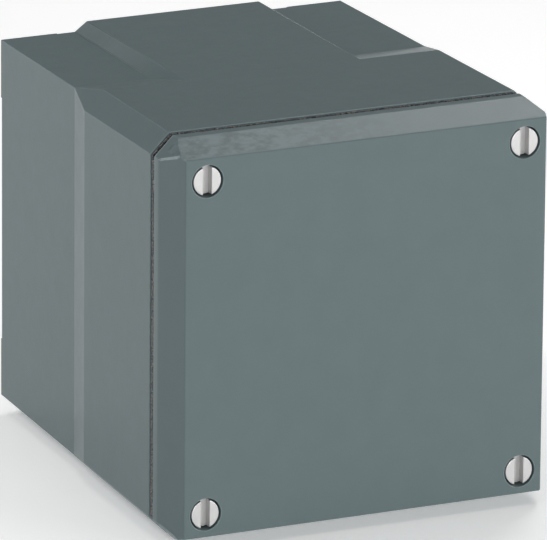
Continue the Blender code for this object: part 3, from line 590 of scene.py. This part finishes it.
def enclosure_look():
    """Blue-grey moulding: slight waves from the tool, a fine grain, a painted mottled reflection on the
    upper bevel, and polished edges painted paler, part wear and part painted highlight.
    """
    look = Look("enclosure_moulding", 0.3, ior=1.25)
    tone = look.between(look.noise(90, 3, 0.6), 0.3, 0.7)
    colour = look.blend(tone, times(ENCLOSURE_GREY, 0.98), times(ENCLOSURE_GREY, 1.02))
    wear_and_highlight = look.add("ShaderNodeAttribute", attribute_name="wear_and_highlight").outputs["Fac"]
    wear_and_painted_highlight = look.sums("MULTIPLY", wear_and_highlight, look.between(look.noise(400), 0.3, 0.6, 0.5, 1.0))
    # edge roundings painted paler: part edge wear, part painted highlight standing in for the light lines
    # along the edges
    colour = look.blend(wear_and_painted_highlight, colour, times(ENCLOSURE_GREY, 1.5))
    # painted reflection: cloudy lighter and darker patches multiply the colour on the left of the upper
    # bevel, standing in for a mottled reflection
    reflection_clouds = look.between(look.noise(260, 2, 0.6, (0.8, 1, 1.6)), 0.38, 0.62)
    painted_reflection = look.blend(reflection_clouds, (0.8, 0.8, 0.8), (1.16, 1.16, 1.16))
    look.paint(look.blend(look.bevel_reflection_mottle(), colour, painted_reflection, "MULTIPLY"))
    dull = look.between(look.noise(160, 3, 0.6), 0.0, 1.0, 0.27, 0.37)
    look.vary_roughness(look.sums("SUBTRACT", dull, look.sums("MULTIPLY", wear_and_highlight, 0.1)))
    waves = look.noise(300, 2, 0.5, (0.6, 1, 1))
    drawn = look.noise(450, 2, 0.5, (0.2, 1, 0.6))
    look.bump(look.sums("ADD", waves, drawn), 0.02)
    return look.made


def foam_look():
    """Dark closed-cell foam, flecked with brown and grey dust in its open cells."""
    look = Look("sealing_foam", 0.85)
    cells = look.add("ShaderNodeTexVoronoi", {"Vector": look.place, "Scale": 1800}).outputs["Distance"]
    shadow = look.between(look.noise(1300, 1), 0.4, 0.6)
    dark = look.blend(shadow, (0.014, 0.02, 0.03), (0.11, 0.125, 0.13))
    fleck = look.between(look.noise(1500, 1), 0.57, 0.61)
    look.paint(look.blend(fleck, dark, (0.27, 0.22, 0.18)))
    look.bump(cells, 0.1)
    return look.made


def plated_look():
    """Bright plated steel with a satin surface and fine marks from handling."""
    look = Look("bright_plating", 0.4, 0.5)
    fine = look.noise(2400, 3, 0.6)
    look.paint(look.blend(look.noise(300), (0.52, 0.517, 0.514), (0.6, 0.596, 0.592)))
    look.vary_roughness(look.between(fine, 0.0, 1.0, 0.3, 0.5))
    look.bump(fine, 0.006)
    return look.made


def moulded_look(name, colour, roughness=0.45, fleck=0.25, grain=0.015):
    """A small moulded part: flow marks, glass-fibre flecks, a fine grain and rubbed edges."""
    look = Look(name, roughness)
    flow = look.between(look.noise(120, 3, 0.6, (1, 1, 0.4)), 0.3, 0.7)
    body = look.blend(flow, times(colour, 0.92), times(colour, 1.08))
    pale = tuple(part + (1 - part) * 0.25 for part in colour)
    flecks = look.sums("MULTIPLY", look.between(look.noise(3500, 2, 0.7, (1, 1, 0.35)), 0.6, 0.7), fleck)
    body = look.blend(flecks, body, pale)
    look.paint(look.blend(look.sums("MULTIPLY", look.edges(0.3), 0.5), body, pale))
    look.vary_roughness(look.between(look.noise(300, 3, 0.6), 0.0, 1.0, roughness - 0.1, roughness + 0.1))
    look.bump(look.noise(2800, 3, 0.6), grain)
    return look.made


def metal_look(name, colour, roughness=0.35, stretch=(1, 1, 1), tarnish=0.8, grain=0.008):
    """A metal part: rolled or drawn grain, uneven tarnish and brighter, polished edges."""
    look = Look(name, roughness, 1.0)
    stain = look.between(look.noise(180, 4, 0.65), 0.35, 0.7)
    body = look.blend(stain, colour, times(colour, tarnish))
    bright = tuple(min(1.0, part * 1.25) for part in colour)
    look.paint(look.blend(look.edges(0.2), body, bright))
    streaks = look.noise(1200, 3, 0.6, stretch)
    look.vary_roughness(look.between(streaks, 0.0, 1.0, roughness - 0.08, roughness + 0.22))
    look.bump(streaks, grain)
    return look.made


def banded_look(name, colour, metallic, pitch, axis, roughness=0.4, depth=0.06):
    """Bands across one axis, a pitch in millimetres apart: stacked sheets or wound wire."""
    look = Look(name, roughness, metallic)
    inputs = {"Vector": look.place, "Scale": math.tau / 20 / (pitch * MM), "Distortion": 0.3}
    settings = {"wave_type": "BANDS", "bands_direction": axis, "wave_profile": "SIN"}
    wave = look.add("ShaderNodeTexWave", inputs, **settings).outputs["Fac"]
    shade_of = look.between(look.noise(700, 2), 0.3, 0.7, 0.2, 0.9)
    body = look.blend(shade_of, times(colour, 0.75), colour)
    look.paint(look.blend(look.between(wave, 0.0, 0.25), times(colour, 0.3), body))
    look.bump(wave, depth)
    return look.made


def inner_looks():
    """The finish of each material slot inside the enclosure."""
    return {
        "plated_steel": metal_look("zinc_plating", (0.62, 0.61, 0.57), 0.35),
        "rail_steel": metal_look("galvanised_rail", (0.58, 0.59, 0.58), 0.38, (0.05, 1, 1), 0.85),
        "brass": metal_look("stamped_brass", (0.66, 0.48, 0.2), 0.32, (1, 1, 0.2), 0.7),
        "copper": metal_look("bare_copper", (0.68, 0.34, 0.2), 0.34, (1, 1, 0.2), 0.6),
        "spring_steel": metal_look("spring_wire", (0.42, 0.42, 0.43), 0.3),
        "housing_plastic": moulded_look("black_housing", (0.035, 0.036, 0.039), 0.45, 0.12),
        "cover_plastic": moulded_look("grey_cover", (0.3, 0.31, 0.31), 0.42, 0.08),
        "carrier_plastic": moulded_look("red_brown_carrier", (0.36, 0.09, 0.055), 0.45, 0.3),
        "bobbin_plastic": moulded_look("natural_bobbin", (0.48, 0.45, 0.36), 0.5, 0.35),
        "dial_plastic": moulded_look("cream_dial", (0.66, 0.62, 0.5), 0.38, 0.05),
        "reset_plastic": moulded_look("blue_button", (0.02, 0.08, 0.32), 0.38, 0.03),
        "stop_plastic": moulded_look("red_button", (0.48, 0.02, 0.02), 0.38, 0.03),
        "wire_insulation": moulded_look("wire_sleeve", (0.028, 0.028, 0.032), 0.35, 0.0, 0.006),
        "lamination_steel": banded_look("stacked_laminations", (0.34, 0.34, 0.35), 1.0, 0.5, "X"),
    }


def dress(node, finish):
    """Give a frame node its finish, on the object and not on its mesh."""
    slot = frame["nodes"][node].material_slots[0]
    slot.link = "OBJECT"
    slot.material = finish


# ---------------------------------------------------------------- studio

# Name, place from the middle of the object in metres, width and height in metres, power in watts
LAMPS = (
    ("front", (-0.3, -2.2, -0.02), (1.4, 1.4), 28.5),
    ("right_front", (1.2, -1.6, 0.1), (1.2, 1.2), 24.4),
    ("left_back", (-1.15, 1.0, 0.33), (1.0, 1.0), 2.8),
    ("left_edge", (-1.15, 1.04, 0.29), (0.5, 0.5), 2.4),
    ("upper_left", (-0.97, 0.28, 1.11), (0.3, 0.3), 4.4),
    ("top", (0, -0.1, 1.8), (1.4, 1.4), 7.8),
    ("right_back", (0.9, 1.0, 1.5), (0.8, 0.8), 2.9),
    ("near_right", (0.5, 0.42, 0.7), (0.3, 0.3), 1.41),
    ("back", (-0.3, 1.8, 0.2), (1.2, 1.2), 1.5),
    ("horizon", (0.5, 2.2, -0.03), (4.0, 0.15), 3.4),
)


def area_light(name, position, size, power):
    """A soft light that faces the middle of the object and that the camera doesn't see."""
    data = bpy.data.lights.new(name, "AREA")
    data.shape = "RECTANGLE"
    data.size, data.size_y = size
    data.energy = power
    lamp = bpy.data.objects.new(name, data)
    lamp.location = place(0, DEPTH / 2, 0) + Vector(position)
    lamp.rotation_euler = Vector(position).to_track_quat("Z", "Y").to_euler()
    lamp.visible_camera = False
    bpy.context.scene.collection.objects.link(lamp)


def studio():
    """Soft lamps all round under a dim white sky."""
    world = bpy.data.worlds.new("studio")
    bpy.context.scene.world = world
    world.use_nodes = True
    background = world.node_tree.nodes["Background"]
    background.inputs["Color"].default_value = WHITE
    background.inputs["Strength"].default_value = 0.15
    for lamp in LAMPS:
        area_light(*lamp)
    bpy.context.scene.view_settings.view_transform = "Standard"


def floor():
    """A pale sheet under the object, which glows a little more towards its far side."""
    look = Look("floor_paper", 0.8)
    look.paint(look.blend(look.noise(25), (0.92, 0.92, 0.92), (0.95, 0.95, 0.95)))
    look.bump(look.noise(1500), 0.02)
    behind = look.add("ShaderNodeSeparateXYZ", {0: look.place}).outputs["Y"]
    glow = look.between(behind, 0.3, 1.5, 0.27, 0.3)
    look.tree.links.new(glow, look.shader.inputs["Emission Strength"])
    look.shader.inputs["Emission Color"].default_value = WHITE
    reach, below = 12.0, -0.0005
    corners = ((-reach, -reach), (reach, -reach), (reach, reach), (-reach, reach))
    bm = bmesh.new()
    bm.faces.new([bm.verts.new((x, y, below)) for x, y in corners])
    ground = object_from(bm, "floor")
    if ground.data.polygons[0].normal.z < 0:
        ground.data.flip_normals()
    ground.data.materials.append(look.made)


def camera():
    """The photograph's view: a long lens, low on the left, with a slight roll."""
    azimuth, elevation, roll = math.radians(24.448), math.radians(17.511), math.radians(0.504)
    data = bpy.data.cameras.new("camera")
    data.lens = 605.7
    data.sensor_width = 36
    data.clip_end = 30
    lens = bpy.data.objects.new("camera", data)
    turn = Matrix.Rotation(-azimuth, 4, "Z") @ Matrix.Rotation(math.pi / 2 - elevation, 4, "X")
    turn = turn @ Matrix.Rotation(roll, 4, "Z")
    lens.matrix_world = Matrix.Translation((-1.3235, -2.9177, 1.0825)) @ turn
    bpy.context.scene.collection.objects.link(lens)
    bpy.context.scene.camera = lens


# ---------------------------------------------------------------- build

def build():
    """Every piece of the object, from the outside in."""
    enclosure = enclosure_look()
    plated = plated_look()
    enclosure_base(enclosure)
    cover(enclosure)
    gasket(foam_look())
    for number in range(1, 5):
        cover_screw(number, plated)
    looks = inner_looks()
    outside = ("enclosure_base", "cover", "cover_gasket")
    for node, slot in SLOTS.items():
        if node in SOFT_PARTS:
            softened(node, *SOFT_PARTS[node], looks[slot])
        elif node not in outside and not node.startswith(("cover_screw", "return_spring")):
            dress(node, looks[slot])
    return_springs(looks["spring_steel"])
    dress("coil_winding", banded_look("wound_wire", (0.6, 0.24, 0.1), 0.6, 0.45, "Y", 0.3, 0.12))


camera()
studio()
floor()
build()
